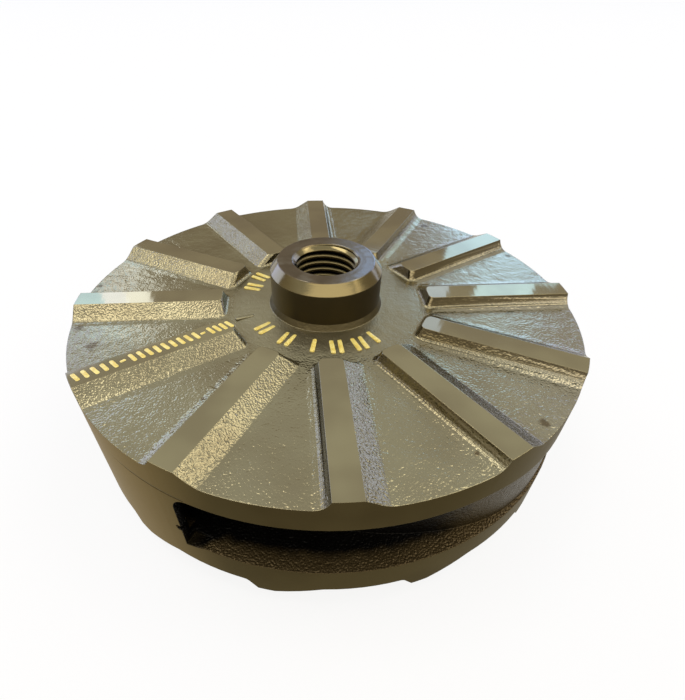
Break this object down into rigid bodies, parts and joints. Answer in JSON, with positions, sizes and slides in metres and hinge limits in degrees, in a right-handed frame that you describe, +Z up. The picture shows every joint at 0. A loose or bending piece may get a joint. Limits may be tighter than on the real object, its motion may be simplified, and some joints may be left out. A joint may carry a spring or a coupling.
{
  "type": "pump impeller",
  "caption": "Closed non-clog pump impeller in cast iron with curved main vanes, rows of pump-out ribs on both shrouds and a threaded hub.",
  "frame": {"origin": "on the shaft axis, in the plane of the suction collar's end face that the part stands on", "axes": "+Z up along the shaft axis, from the suction collar towards the threaded hub; +X runs along one of the twelve ribs of the hub side"},
  "size_m": [0.25, 0.25, 0.0952],
  "materials": {
    "iron": "as cast, oiled, with turned and milled faces"
  },
  "bodies": {
    "root": {"impeller": "iron"}
  },
  "joints": []
}
